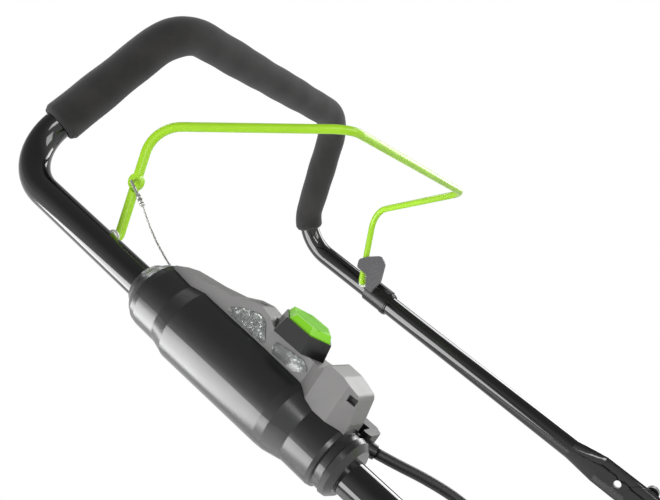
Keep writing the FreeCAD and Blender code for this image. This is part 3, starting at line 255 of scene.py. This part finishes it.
# ---- materials ----------------------------------------------------------------------------------
class Look:
    """A procedural material being built: noises in the piece's own metres feed one shader."""

    def __init__(self, name):
        self.material = bpy.data.materials.new(name)
        self.material.use_nodes = True
        self.tree = self.material.node_tree
        self.shader = self.tree.nodes["Principled BSDF"]
        self.place = self.tree.nodes.new("ShaderNodeTexCoord").outputs["Object"]

    def set(self, **values):
        """Sets the shader's own inputs."""
        for key, value in values.items():
            self.shader.inputs[key.replace("_", " ")].default_value = value
        return self

    def node(self, kind, **values):
        """A new node of a kind, with its properties."""
        made = self.tree.nodes.new(kind)
        for key, value in values.items():
            setattr(made, key, value)
        return made

    def noise(self, scale, detail=3.0, stretch=None, kind="ShaderNodeTexNoise"):
        """A noise or cell pattern over the piece, stretched if wanted."""
        made = self.node(kind)
        made.inputs["Scale"].default_value = scale
        if kind == "ShaderNodeTexNoise":
            made.inputs["Detail"].default_value = detail
        place = self.place
        if stretch:
            mapping = self.node("ShaderNodeMapping")
            mapping.inputs["Scale"].default_value = stretch
            self.tree.links.new(place, mapping.inputs["Vector"])
            place = mapping.outputs["Vector"]
        self.tree.links.new(place, made.inputs["Vector"])
        return made.outputs["Distance" if kind == "ShaderNodeTexVoronoi" else 0]

    def levels(self, value, low, high, to_low, to_high):
        """The value, carried from one range to another."""
        made = self.node("ShaderNodeMapRange")
        for key, number in (("From Min", low), ("From Max", high), ("To Min", to_low),
                            ("To Max", to_high)):
            made.inputs[key].default_value = number
        self.tree.links.new(value, made.inputs["Value"])
        return made.outputs["Result"]

    def colours(self, value, first, second, low=0.35, high=0.65):
        """Base colour runs from the first colour to the second with the value."""
        ramp = self.node("ShaderNodeValToRGB")
        ramp.color_ramp.elements[0].position = low
        ramp.color_ramp.elements[1].position = high
        ramp.color_ramp.elements[0].color = (*first, 1)
        ramp.color_ramp.elements[1].color = (*second, 1)
        self.tree.links.new(value, ramp.inputs["Fac"])
        self.tree.links.new(ramp.outputs["Color"], self.shader.inputs["Base Color"])
        return self

    def rough(self, value, least, most, low=0.3, high=0.7):
        """Roughness runs from least to most with the value."""
        made = self.levels(value, low, high, least, most)
        self.tree.links.new(made, self.shader.inputs["Roughness"])
        return self

    def bumps(self, *layers):
        """Each layer is (value, height in metres, strength)."""
        normal = None
        for value, height, strength in layers:
            bump = self.node("ShaderNodeBump")
            bump.inputs["Strength"].default_value = strength
            bump.inputs["Distance"].default_value = height
            self.tree.links.new(value, bump.inputs["Height"])
            if normal:
                self.tree.links.new(normal, bump.inputs["Normal"])
            normal = bump.outputs["Normal"]
        self.tree.links.new(normal, self.shader.inputs["Normal"])
        return self


def shade(colour, factor):
    """The colour, lighter or darker by a factor."""
    return tuple(min(c * factor, 1.0) for c in colour)


def gloss_paint(name, colour, least=0.10, most=0.18, coat=0.6):
    """Powder coat or enamel: a smooth skin with orange peel and faint cloudy wear."""
    look = Look(name).set(IOR=1.5, Coat_Weight=coat, Coat_Roughness=0.05)
    cloud = look.noise(14.0, 4.0)
    peel = look.noise(110.0, 1.0)
    look.colours(cloud, shade(colour, 0.92), shade(colour, 1.08))
    look.rough(cloud, least, most)
    return look.bumps((peel, 0.00002, 0.12)).material


def moulded(name, colour, least=0.38, most=0.5, grain=1500.0, height=0.00005, flow=0.06):
    """Moulded plastic: a fine etched grain, faint flow marks and small handling marks."""
    look = Look(name).set(IOR=1.47)
    etched = look.noise(grain, 2.0)
    marks = look.noise(60.0, 6.0, (1.0, 0.25, 1.0))
    broad = look.noise(9.0, 2.0)
    look.colours(marks, shade(colour, 1 - flow), shade(colour, 1 + flow))
    look.rough(broad, least, most)
    return look.bumps((broad, 0.0002, 0.05), (etched, height, 0.4)).material


def glossy_moulded(name, colour, least=0.2, most=0.3, coat=0.25, coat_rough=0.14):
    """Polished plastic, with a soft sheen and hairline scratches."""
    look = Look(name).set(IOR=1.5, Coat_Weight=coat, Coat_Roughness=coat_rough)
    broad = look.noise(11.0, 3.0)
    hairs = look.noise(120.0, 3.0, (3.0, 0.6, 0.6))
    skin = look.noise(160.0, 1.0)
    look.colours(broad, shade(colour, 0.9), shade(colour, 1.12))
    look.rough(hairs, least, most)
    return look.bumps((skin, 0.00001, 0.08)).material


def metal(name, colour, least=0.22, most=0.38, stretch=(0.3, 4.0, 4.0), grain=500.0):
    """Bright metal with drawn or ground lines."""
    look = Look(name).set(Metallic=1.0)
    lines = look.noise(grain, 4.0, stretch)
    cloud = look.noise(40.0, 4.0)
    look.colours(cloud, shade(colour, 0.82), shade(colour, 1.05))
    look.rough(lines, least, most)
    return look.bumps((lines, 0.00002, 0.35)).material


def cast_metal(name, colour):
    """Cast metal: fine pits in a dull, cloudy skin."""
    look = Look(name).set(Metallic=0.9)
    pits = look.noise(900.0, 5.0)
    cloud = look.noise(30.0, 4.0)
    look.colours(cloud, shade(colour, 0.75), colour)
    look.rough(cloud, 0.4, 0.6)
    return look.bumps((pits, 0.0001, 0.5)).material


def guard_plastic(name, clip, plate):
    """The guard is moulded in two shots: a black clip round the tube and a grey plate inside it."""
    look = Look(name).set(IOR=1.5)
    split = look.node("ShaderNodeSeparateXYZ")
    look.tree.links.new(look.place, split.inputs[0])
    edge = HANDLE_ORIGIN.x - TUBE_X + TUBE_R + 0.013
    side = look.levels(split.outputs["X"], edge, edge + 0.0005, 0.0, 1.0)
    marks = look.noise(60.0, 6.0)
    skin = look.noise(1300.0, 2.0)
    look.colours(side, clip, plate, 0.2, 0.8)
    look.rough(marks, 0.22, 0.36)
    return look.bumps((skin, 0.00003, 0.3)).material


def rubber(name, colour, least=0.55, most=0.75, grain=1100.0):
    """Matte rubber, its surface slightly bloomed."""
    look = Look(name).set(IOR=1.45)
    bloom = look.noise(28.0, 5.0)
    skin = look.noise(grain, 3.0)
    look.colours(bloom, shade(colour, 0.85), shade(colour, 1.3))
    look.rough(bloom, least, most)
    return look.bumps((skin, 0.00008, 0.45)).material


def foam(name, colour):
    """Closed-cell grip foam: tiny open pores in a soft, cloudy skin."""
    look = Look(name).set(IOR=1.35, Sheen_Weight=0.15, Sheen_Roughness=0.6)
    look.shader.inputs["Sheen Tint"].default_value = (0.8, 0.8, 0.85, 1)
    pores = look.noise(1500.0, kind="ShaderNodeTexVoronoi")
    cells = look.noise(3200.0, 3.0)
    cloud = look.noise(45.0, 6.0)
    look.colours(cloud, shade(colour, 0.78), shade(colour, 1.2))
    look.rough(cells, 0.82, 0.97)
    dents = look.levels(pores, 0.0, 0.45, 0.0, 1.0)
    return look.bumps((cloud, 0.0006, 0.25), (dents, 0.00022, 0.55), (cells, 0.0001, 0.5)).material


def clear_plastic(name, tint):
    """Clear moulded plastic, with faint waviness and dust."""
    look = Look(name).set(IOR=1.49, Transmission_Weight=0.92)
    wave = look.noise(70.0, 3.0)
    dust = look.noise(900.0, 4.0)
    look.colours(wave, shade(tint, 0.94), tint)
    look.rough(dust, 0.02, 0.09, 0.5, 0.8)
    return look.bumps((wave, 0.0002, 0.15)).material


def foil(name):
    """Crazed bright reflector behind the clear windows."""
    look = Look(name).set(Metallic=1.0)
    facets = look.noise(330.0, kind="ShaderNodeTexVoronoi")
    cloud = look.noise(220.0, 3.0)
    look.colours(cloud, (0.10, 0.105, 0.10), (0.85, 0.86, 0.84), 0.4, 0.7)
    look.rough(cloud, 0.08, 0.28)
    return look.bumps((facets, 0.003, 0.9)).material


LIME = (0.32, 0.60, 0.010)
BLACK = (0.0065, 0.0065, 0.0072)
LOOKS = {
    "tube_black": lambda n: gloss_paint(n, (0.0035, 0.0035, 0.004), 0.07, 0.12, 0.55),
    "bail_lime": lambda n: gloss_paint(n, LIME, 0.26, 0.36, 0.1),
    "foam": lambda n: foam(n, (0.019, 0.0178, 0.0172)),
    "zinc": lambda n: metal(n, (0.72, 0.72, 0.70)),
    "black_plastic": lambda n: moulded(n, (0.006, 0.006, 0.0065), 0.24, 0.34, 1500.0, 0.00002),
    "white_plastic": lambda n: moulded(n, (0.62, 0.62, 0.60), 0.35, 0.45),
    "box_black": lambda n: glossy_moulded(n, BLACK, 0.27, 0.35, 0.75, 0.24),
    "cover_grey": lambda n: moulded(n, (0.175, 0.171, 0.170), 0.34, 0.46, 1300.0, 0.00004),
    "clear": lambda n: clear_plastic(n, (0.92, 0.95, 0.94)),
    "button_lime": lambda n: moulded(n, (0.22, 0.62, 0.02), 0.28, 0.4, 1200.0, 0.00002),
    "guard_grey": lambda n: guard_plastic(n, (0.006, 0.006, 0.0065), (0.085, 0.083, 0.088)),
    "cord_black": lambda n: rubber(n, (0.008, 0.008, 0.0085), 0.32, 0.46, 1400.0),
    "body_lime": lambda n: glossy_moulded(n, LIME, 0.22, 0.32),
    "housing_black": lambda n: moulded(n, (0.016, 0.016, 0.017), 0.42, 0.56, 900.0, 0.00009),
    "frame_black": lambda n: gloss_paint(n, (0.010, 0.010, 0.011), 0.3, 0.42, 0.1),
    "rubber_black": lambda n: rubber(n, (0.012, 0.012, 0.012)),
    "tyre_black": lambda n: rubber(n, (0.011, 0.011, 0.011), 0.65, 0.85, 700.0),
    "wheel_grey": lambda n: moulded(n, (0.075, 0.075, 0.08), 0.36, 0.48),
    "pulley_cast": lambda n: cast_metal(n, (0.62, 0.62, 0.63)),
    "motor_steel": lambda n: gloss_paint(n, (0.06, 0.06, 0.063), 0.3, 0.4, 0.0),
    "copper_alloy": lambda n: metal(n, (0.78, 0.52, 0.22)),
    "board_green": lambda n: moulded(n, (0.01, 0.09, 0.03), 0.3, 0.42, 600.0, 0.0001),
    "battery_black": lambda n: moulded(n, (0.013, 0.013, 0.014), 0.4, 0.52, 1100.0, 0.00008),
}
MATERIALS = {slot: make(slot) for slot, make in LOOKS.items()}


def dress(obj, slot, material=None):
    """Gives a new piece its material: the given one, or else the one for the named slot."""
    obj.data.materials.clear()
    obj.data.materials.append(material or MATERIALS[slot])
    return obj


def dress_nodes():
    """Gives each CAD piece the material that the record names for it."""
    for name, obj in NODES.items():
        for slot in obj.material_slots:
            slot.material = MATERIALS[SLOT_OF[name]]


# ---- soft pieces --------------------------------------------------------------------------------
def add_cord():
    """The power cord: one smooth spline across the fold, and a tube that follows it."""
    data = bpy.data.curves.new("cord_line", "CURVE")
    data.dimensions = "3D"
    data.resolution_u = 10
    spline = data.splines.new("NURBS")
    spline.points.add(len(CORD_ROUTE) - 1)
    for point, place in zip(spline.points, CORD_ROUTE):
        point.co = (*at_handle(*place), 1)
    spline.order_u = 3
    spline.use_endpoint_u = True
    line = bpy.data.objects.new("cord_line", data)
    bpy.context.scene.collection.objects.link(line)
    bpy.context.view_layer.update()
    sampled = bpy.data.meshes.new_from_object(line)
    points = [v.co.copy() for v in sampled.vertices]
    bpy.data.objects.remove(line)
    cord = dress(tube("power_cord_sheath", points, CORD_R, 20), "cord_black")
    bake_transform(cord)
    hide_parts("power_cord")


def foam_line():
    """The tube's centre line under the foam, in the handle's frame."""
    slope = (Vector((TUBE_X, 0, 0)) - Vector((GRIP_X, 0, GRIP_Z))).normalized()
    start = Vector((TUBE_X, 0, 0)) - slope * SHOULDER_R
    finish = Vector((-start.x, 0, start.z))
    corners = [start, Vector((GRIP_X, 0, GRIP_Z)), Vector((-GRIP_X, 0, GRIP_Z)), finish]
    path = divided(rounded_path(corners, [CORNER_R, CORNER_R], 0.004), 0.004)
    down = Vector((-slope.x, 0, slope.z))
    centre = finish + Vector((0, SHOULDER_R, 0))
    for k in range(1, 9):
        turn = FOAM_BEND * k / 8
        out = down * math.sin(turn) - Vector((0, math.cos(turn), 0))
        path.append(centre + out * SHOULDER_R)
    return [at_handle(*p) for p in path]


FOAM_SWELLS = ((0.00025, 61, 0), (0.0002, 143, 1.2))
FOAM_LUMP = 0.006


def add_foam():
    """The foam sleeve, its ends rounded over and drawn in to the tube."""
    line = foam_line()
    rings = frames_along(line)
    sides = 40
    edge = 0.0022
    bore = TUBE_R + 0.0003
    skin = FOAM_R - 0.0004
    length = [0.0]
    for a, b in zip(line, line[1:]):
        length.append(length[-1] + (b - a).length)
    sections = []
    for i, ring in enumerate(rings):
        near = min(length[i], length[-1] - length[i])
        radius = skin + sum(size * math.sin(length[i] * waves + offset)
                            for size, waves, offset in FOAM_SWELLS)
        if near < edge:
            radius -= edge - math.sqrt(max(edge ** 2 - (edge - near) ** 2, 0))
        sections.append((ring, radius))
    sections += [(ring, bore) for ring in reversed(rings)]
    vertices = []
    for (centre, side, other), radius in sections:
        lump = FOAM_LUMP if radius > bore + edge else 0
        for k, out in enumerate(around(side, other, sides)):
            wave = math.sin(3 * (2 * math.pi * k / sides) + centre.x * 37)
            vertices.append(centre + out * radius * (1 + lump * wave))
    faces = ring_faces(len(sections), sides, closed=True)
    sleeve = dress(from_faces("foam_sleeve", vertices, faces), "foam")
    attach(sleeve, "handle")
    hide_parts("foam_grip")


STRAND_R = 0.00030
STRAND_LAY_R = 0.00056
STRANDS = 6
LAY_TURNS = 7
WIRE_SAG = 0.0035
FERRULE_AT = 0.0162
FERRULE = [(0, .0014), (.0006, .0021), (.0028, .0021), (.0034, .0017), (.0042, .0017),
           (.0048, .0021), (.0074, .0021), (.0080, .0017), (.0088, .0017), (.0094, .0021),
           (.0104, .0021), (.0110, .0013)]


def add_pull_wire():
    """Strands laid up round a core as one wire, with a crimped ferrule by the hook."""
    along = (WIRE_EXIT - WIRE_START).normalized()
    start, finish = 0.024, (WIRE_EXIT - WIRE_START).length
    dip = Vector((-0.35, -0.75, -0.56))
    dip = (dip - along * dip.dot(along)).normalized()
    samples = 150
    middle = []
    for k in range(samples + 1):
        t = k / samples
        distance = start + (finish - start) * t
        sag = WIRE_SAG * math.sin(math.pi * t)
        middle.append(at_handle(*(WIRE_START + along * distance + dip * sag)))
    strands = [tube("wire_core", middle, STRAND_R, 8)]
    rings = frames_along(middle)
    for s in range(STRANDS):
        points = []
        for k, (place, side, other) in enumerate(rings):
            angle = 2 * math.pi * (s / STRANDS + LAY_TURNS * k / samples)
            out = side * math.cos(angle) + other * math.sin(angle)
            points.append(place + out * STRAND_LAY_R)
        strands.append(tube("wire_strand", points, STRAND_R, 8))
    ferrule = lathe("wire_ferrule", FERRULE, at_handle(*(WIRE_START + along * FERRULE_AT)),
                    HANDLE_TURN @ along, 20)
    wire = dress(joined("pull_wire_strands", strands + [ferrule]), "zinc")
    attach(wire, "wire")
    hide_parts("pull_wire")


def coil(name, place, way, radius, length, turns):
    """A coil spring from a place, its length along a direction of the handle's frame."""
    side = way.orthogonal().normalized()
    other = way.cross(side)
    count = 20 * turns
    points = []
    for k in range(count + 1):
        angle = 2 * math.pi * turns * k / count
        out = side * math.cos(angle) + other * math.sin(angle)
        points.append(at_handle(*(place + way * (length * k / count) + out * radius)))
    return dress(tube(name, points, SPRING_WIRE_R, 8), "zinc")


def add_springs():
    """The two return springs in the switch box, for the button and the slider, as coils of fixed length."""
    low = Vector((TUBE_X, BUTTON_Y, 0.0504))
    way = Vector((0, 0, 1))
    button = coil("button_spring_coil", low, way, 0.0052, BUTTON_SPRING_LENGTH, 2)
    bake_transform(button)
    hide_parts("start_button_spring")
    top = Vector((TUBE_X + 0.0025, 0.2328, 0.022))
    way = Vector((0, 1, 0))
    slide = coil("slider_spring_coil", top, way, 0.0026, SLIDER_SPRING_LENGTH, 10)
    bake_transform(slide)
    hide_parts("slider_spring")


# ---- small visible pieces -----------------------------------------------------------------------
REFLECTORS = (
    [(.2575, .0315, .0385), (.2705, .0315, .0440), (.2830, .0315, .0475), (.2905, .0315, .0465),
     (.2975, .0315, .0425)],
    [(.3025, .0330, .0415), (.3120, .0330, .0425), (.3290, .0330, .0428), (.3375, .0330, .0415)],
)


def reflector(outline):
    """A thin crumpled sheet in the handle's (y, z) plane, from (y, low z, high z) stations."""
    rows, thin = 7, 0.0005
    columns = [outline[0]]
    for (y, low, high), (next_y, next_low, next_high) in zip(outline, outline[1:]):
        for k in range(1, 5):
            t = k / 4
            columns.append((y + (next_y - y) * t, low + (next_low - low) * t,
                            high + (next_high - high) * t))
    vertices, faces = [], []
    for r in range(rows):
        for y, low, high in columns:
            x = TUBE_X + 0.0059 + random.uniform(-0.0006, 0.0006)
            vertices.append(at_handle(x, y, low + (high - low) * r / (rows - 1)))
    back, wide = len(vertices), len(columns)
    vertices += [v - HANDLE_TURN @ Vector((thin, 0, 0)) for v in vertices]
    for r in range(rows - 1):
        for c in range(wide - 1):
            a = r * wide + c
            face = (a, a + 1, a + wide + 1, a + wide)
            faces.append(face)
            faces.append(tuple(i + back for i in reversed(face)))
    rim = list(range(wide))
    rim += [r * wide + wide - 1 for r in range(1, rows)]
    rim += [(rows - 1) * wide + c for c in range(wide - 2, -1, -1)]
    rim += [r * wide for r in range(rows - 2, 0, -1)]
    for a, b in zip(rim, rim[1:] + rim[:1]):
        faces.append((a, b, b + back, a + back))
    return from_faces("reflector", vertices, faces, smooth=False)


def add_painted_pocket_shade():
    """A dark plug deep in the pocket in the cover's tail, with a dished face: painted shade that makes the pocket
    read black.
    """
    middle_y, middle_z, half_y, half_z = 0.37275, 0.0440, 0.0030, 0.00215
    rings = ((0.0092, 1.0), (0.0104, 1.0), (0.0109, 0.86), (0.0109, 0.62), (0.0104, 0.5))
    corners = ((-half_y, -half_z), (half_y, -half_z), (half_y, half_z), (-half_y, half_z))
    vertices = [at_handle(TUBE_X + x, middle_y + y * size, middle_z + z * size)
                for x, size in rings for y, z in corners]
    faces = ring_faces(len(rings), len(corners))
    # painted shade: a black plug where the pocket is dark only because little light reaches in
    plug = from_faces("pocket_shade_plug", vertices, faces, smooth=False)
    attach(dress(plug, "cord_black"), "handle")


def add_reflectors():
    """Bright crumpled sheets a little way behind the clear windows."""
    pieces = [reflector(outline) for outline in REFLECTORS]
    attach(dress(joined("window_reflectors", pieces), "zinc", foil("window_foil")), "handle")


DOME = [(-.0006, .0045), (.0010, .0045), (.0018, .0040), (.0024, .0028), (.0024, .0014),
        (.0010, .0012), (.0010, .0002)]


def add_body_screws():
    """Domed screws with a driven recess: along the frame's sides and round the right bearing."""
    side_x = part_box("base_frame")[1][0] - MIDDLE_X
    screws = []
    for y, z in ((-.150, .235), (-.150, .100), (-.380, .100), (-.350, .250)):
        for way in (1, -1):
            screws.append(lathe("screw", DOME, at_machine(way * side_x, y, z), (way, 0, 0), 16))
    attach(dress(joined("frame_screws", screws), "zinc"), "machine")
    plate_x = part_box("auger_bearings")[1][0] - MIDDLE_X - 0.003
    bolts = []
    for k in range(3):
        turn = math.radians(90 + 120 * k)
        place = at_machine(plate_x, 0.030 * math.cos(turn), 0.130 + 0.030 * math.sin(turn))
        bolts.append(lathe("bolt", DOME, place, (1, 0, 0), 16))
    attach(dress(joined("bearing_screws", bolts), "zinc"), "machine")


LAMP_SLOPE = math.atan2(0.030, 0.060)


def add_lamp_bowls():
    """A bright bowl round each emitter of the two lamps."""
    turn = Matrix.Rotation(-LAMP_SLOPE, 3, "X")
    middle = middle_of("headlight_lenses")
    centre = Vector((MIDDLE_X, middle.y, middle.z))
    profile = [(-.0098, .0033), (-.0060, .0058), (-.0018, .0074), (-.0014, .0077),
               (-.0064, .0064), (-.0098, .0040)]
    bowls = []
    for lamp in (-0.112, 0.112):
        for emitter in (-0.016, 0, 0.016):
            place = centre + turn @ Vector((lamp + emitter, 0, 0))
            bowls.append(lathe("bowl", profile, place, turn @ Vector((0, 0, 1)), 24, closed=True))
    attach(dress(joined("lamp_bowls", bowls), "zinc"), "machine")


def add_battery_gauge():
    """Four charge lights in a row beside a round test button, on the battery's top."""
    low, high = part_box("battery_pack")
    light = [(-.0006, .0015), (.0001, .0015), (.0004, .0011), (.0005, .0002)]
    lights = []
    for k in range(4):
        place = Vector((MIDDLE_X - 0.0105 + 0.005 * k, low[1] + 0.012, high[2]))
        lights.append(lathe("light", light, place, (0, 0, 1), 16))
    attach(dress(joined("gauge_lights", lights), "button_lime"), "battery")
    place = Vector((MIDDLE_X + 0.0115, low[1] + 0.012, high[2]))
    profile = [(-.0006, .0036), (.0003, .0036), (.0007, .0031), (.0005, .0016), (.0004, .0002)]
    button = lathe("gauge_button", profile, place, (0, 0, 1), 24)
    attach(dress(button, "wheel_grey"), "battery")


# ---- surroundings -------------------------------------------------------------------------------
def add_floor():
    """A pale round floor under the part."""
    look = Look("floor").set(IOR=1.4)
    grain = look.noise(30.0, 4.0)
    look.colours(grain, (0.80, 0.80, 0.80), (0.84, 0.84, 0.84)).rough(grain, 0.7, 0.85)
    top, under, middle, edge = -0.0005, -0.02, 0.01, 1.4
    profile = [(under, middle), (under, edge), (top, edge), (top, middle)]
    floor = lathe("floor", profile, (0, 0, 0), (0, 0, 1), 96)
    floor.data.materials.append(look.material)


def add_light(name, place, target, size, power):
    """A rectangular lamp at a place, facing a target."""
    data = bpy.data.lights.new(name, "AREA")
    data.shape = "RECTANGLE"
    data.size, data.size_y = size
    data.energy = power
    light = bpy.data.objects.new(name, data)
    bpy.context.scene.collection.objects.link(light)
    light.location = place
    light.rotation_euler = (Vector(target) - Vector(place)).to_track_quat("-Z", "Y").to_euler()


def add_world():
    """White to the camera; to everything else a room that is light low down and dark overhead."""
    world = bpy.data.worlds.new("studio")
    bpy.context.scene.world = world
    world.use_nodes = True
    tree = world.node_tree
    seen = tree.nodes["Background"]
    seen.inputs["Color"].default_value = (1, 1, 1, 1)
    place = tree.nodes.new("ShaderNodeTexCoord")
    split = tree.nodes.new("ShaderNodeSeparateXYZ")
    ramp = tree.nodes.new("ShaderNodeMapRange")
    ramp.interpolation_type = "SMOOTHSTEP"
    for key, value in (("From Min", 0.0), ("From Max", 0.8), ("To Min", 0.75), ("To Max", 0.22)):
        ramp.inputs[key].default_value = value
    tree.links.new(place.outputs["Generated"], split.inputs[0])
    tree.links.new(split.outputs["Z"], ramp.inputs["Value"])
    soft = tree.nodes.new("ShaderNodeBackground")
    soft.inputs["Color"].default_value = (1, 1, 1, 1)
    tree.links.new(ramp.outputs["Result"], soft.inputs["Strength"])
    path = tree.nodes.new("ShaderNodeLightPath")
    mix = tree.nodes.new("ShaderNodeMixShader")
    tree.links.new(path.outputs["Is Camera Ray"], mix.inputs["Fac"])
    tree.links.new(soft.outputs[0], mix.inputs[1])
    tree.links.new(seen.outputs[0], mix.inputs[2])
    tree.links.new(mix.outputs[0], tree.nodes["World Output"].inputs["Surface"])


def add_lights():
    """A broad low panel to the left makes the long highlights; the rest fill in more weakly."""
    middle = at_handle(TUBE_X, 0.28, 0.02)
    add_light("panel", middle + Vector((0.56, -0.90, -0.26)), middle, (1.3, 0.6), 15)
    add_light("key", middle + Vector((-0.5, -1.0, 1.8)), middle, (1.0, 0.8), 16)
    add_light("side", middle + Vector((1.5, 1.5, 0.4)), middle, (0.5, 1.2), 12)
    add_light("far", middle + Vector((-1.7, 0.5, 0.9)), middle, (0.6, 1.5), 16)
    add_light("front", middle + Vector((-0.2, 2.5, 0.6)), middle, (1.6, 1.0), 22)


add_camera()
add_cord()
dress_nodes()
add_foam()
add_pull_wire()
add_springs()
add_painted_pocket_shade()
add_reflectors()
add_body_screws()
add_lamp_bowls()
add_battery_gauge()
add_floor()
add_world()
add_lights()
bpy.context.scene.view_settings.view_transform = "Standard"
